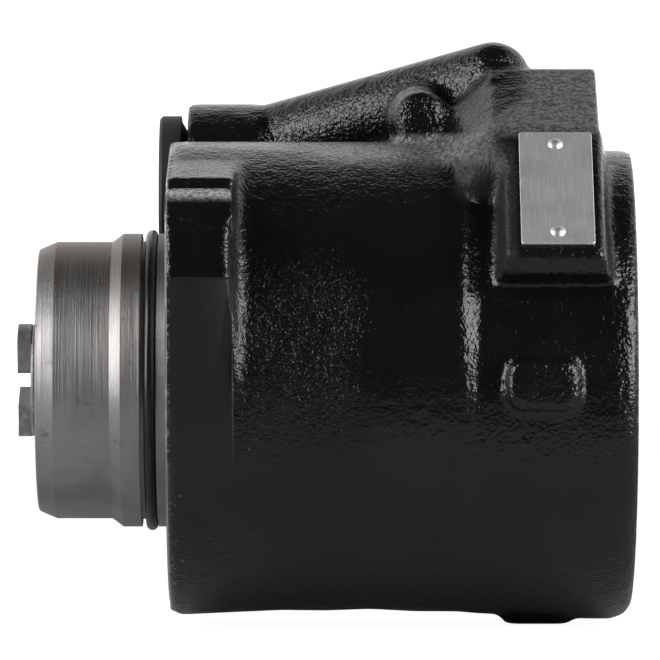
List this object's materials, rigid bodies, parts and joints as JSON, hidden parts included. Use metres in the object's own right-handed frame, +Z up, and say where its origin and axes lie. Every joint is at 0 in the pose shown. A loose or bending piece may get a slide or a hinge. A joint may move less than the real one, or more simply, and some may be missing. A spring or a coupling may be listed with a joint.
{
  "type": "hydraulic vane pump",
  "caption": "Flange-mounted hydraulic vane pump with a round pilot spigot, claw coupling, cast pot housing, axial suction port and upward pressure port.",
  "frame": {"origin": "where the shaft axis crosses the flange mounting face", "axes": "+X along the shaft, from the coupling towards the rear cover; +Z up, towards the pressure port; -Y the side with the name plate"},
  "size_m": [0.1667, 0.1454, 0.1592],
  "materials": {
    "black_enamel": "thick glossy black enamel over rough sand-cast iron, thin at the edges",
    "turned_iron": "bare turned cast iron, fine tool marks",
    "black_rubber": "oiled nitrile rubber",
    "plate_aluminium": "satin anodised, bare",
    "rivet_steel": "bright plated dome heads",
    "cap_plastic": "matte moulded polyethylene",
    "oiled_steel": "dark phosphated and oiled",
    "ground_steel": "ground",
    "bearing_steel": "polished",
    "bronze": "turned bearing bronze",
    "spring_steel": "oil-tempered",
    "zinc_steel": "zinc plated",
    "copper": "annealed copper"
  },
  "bodies": {
    "housing": {"pump_housing": "black_enamel", "rear_cover": "black_enamel", "spigot_o_ring": "black_rubber", "front_plate_o_ring": "black_rubber", "rear_plate_o_ring": "black_rubber", "cover_o_ring": "black_rubber", "shaft_seal": "black_rubber", "name_plate": "plate_aluminium", "plate_rivets": "rivet_steel", "bearing_outer_race": "bearing_steel", "bearing_snap_ring": "oiled_steel", "cover_snap_ring": "oiled_steel", "seal_garter_spring": "spring_steel", "front_bush": "bronze", "rear_bush": "bronze", "front_port_plate": "ground_steel", "rear_port_plate": "ground_steel", "cam_ring": "ground_steel", "locating_pins": "ground_steel", "cartridge_spring": "spring_steel", "valve_spring": "spring_steel", "valve_plug": "zinc_steel", "valve_plug_seal": "copper"},
    "shaft": {"drive_shaft": "ground_steel", "coupling_hub": "oiled_steel", "bearing_inner_race": "bearing_steel", "rotor": "ground_steel", "rotor_circlip": "oiled_steel"},
    "cage": {"bearing_cage": "bronze", "bearing_rollers": "bearing_steel"},
    "vane_01": {"vane_01": "ground_steel"},
    "vane_02": {"vane_02": "ground_steel"},
    "vane_03": {"vane_03": "ground_steel"},
    "vane_04": {"vane_04": "ground_steel"},
    "vane_05": {"vane_05": "ground_steel"},
    "vane_06": {"vane_06": "ground_steel"},
    "vane_07": {"vane_07": "ground_steel"},
    "vane_08": {"vane_08": "ground_steel"},
    "vane_09": {"vane_09": "ground_steel"},
    "vane_10": {"vane_10": "ground_steel"},
    "spool": {"valve_spool": "ground_steel", "relief_guide_screw": "oiled_steel", "relief_spring": "spring_steel"},
    "ball": {"relief_ball": "bearing_steel"},
    "cap": {"suction_port_cap": "cap_plastic"}
  },
  "joints": [
    {"name": "shaft_turn", "type": "hinge", "parent": "housing", "child": "shaft", "pos_m": [0, 0, 0], "axis": [1, 0, 0], "continuous": true},
    {"name": "cage_turn", "type": "hinge", "parent": "housing", "child": "cage", "pos_m": [0, 0, 0], "axis": [1, 0, 0], "continuous": true},
    {"name": "vane_01_slide", "type": "slide", "parent": "shaft", "child": "vane_01", "axis": [0, 1, 0], "range_m": [-0.0028, 0.00356]},
    {"name": "vane_02_slide", "type": "slide", "parent": "shaft", "child": "vane_02", "axis": [0, 0.809, 0.5878], "range_m": [-0.0028, 0.00287]},
    {"name": "vane_03_slide", "type": "slide", "parent": "shaft", "child": "vane_03", "axis": [0, 0.309, 0.9511], "range_m": [-0.0028, 0.00006]},
    {"name": "vane_04_slide", "type": "slide", "parent": "shaft", "child": "vane_04", "axis": [0, -0.309, 0.9511], "range_m": [-0.0028, 0.00006]},
    {"name": "vane_05_slide", "type": "slide", "parent": "shaft", "child": "vane_05", "axis": [0, -0.809, 0.5878], "range_m": [-0.0028, 0.00287]},
    {"name": "vane_06_slide", "type": "slide", "parent": "shaft", "child": "vane_06", "axis": [0, -1, 0], "range_m": [-0.0028, 0.00356]},
    {"name": "vane_07_slide", "type": "slide", "parent": "shaft", "child": "vane_07", "axis": [0, -0.809, -0.5878], "range_m": [-0.0028, 0.00287]},
    {"name": "vane_08_slide", "type": "slide", "parent": "shaft", "child": "vane_08", "axis": [0, -0.309, -0.9511], "range_m": [-0.0028, 0.00006]},
    {"name": "vane_09_slide", "type": "slide", "parent": "shaft", "child": "vane_09", "axis": [0, 0.309, -0.9511], "range_m": [-0.0028, 0.00006]},
    {"name": "vane_10_slide", "type": "slide", "parent": "shaft", "child": "vane_10", "axis": [0, 0.809, -0.5878], "range_m": [-0.0028, 0.00287]},
    {"name": "spool_slide", "type": "slide", "parent": "housing", "child": "spool", "axis": [0, -1, 0], "range_m": [0, 0.008], "stiffness_N_per_m": 6000, "springref_m": -0.006, "deforming": ["valve_spring"]},
    {"name": "relief_lift", "type": "slide", "parent": "spool", "child": "ball", "axis": [0, -1, 0], "range_m": [0, 0.0012], "stiffness_N_per_m": 8000, "springref_m": -0.003, "deforming": ["relief_spring"]},
    {"name": "cap_pull", "type": "slide", "parent": "housing", "child": "cap", "axis": [-1, 0, 0], "range_m": [0, 0.016]}
  ],
  "couplings": [
    {"joint": "cage_turn", "follows": "shaft_turn", "ratio": 0.4064}
  ]
}
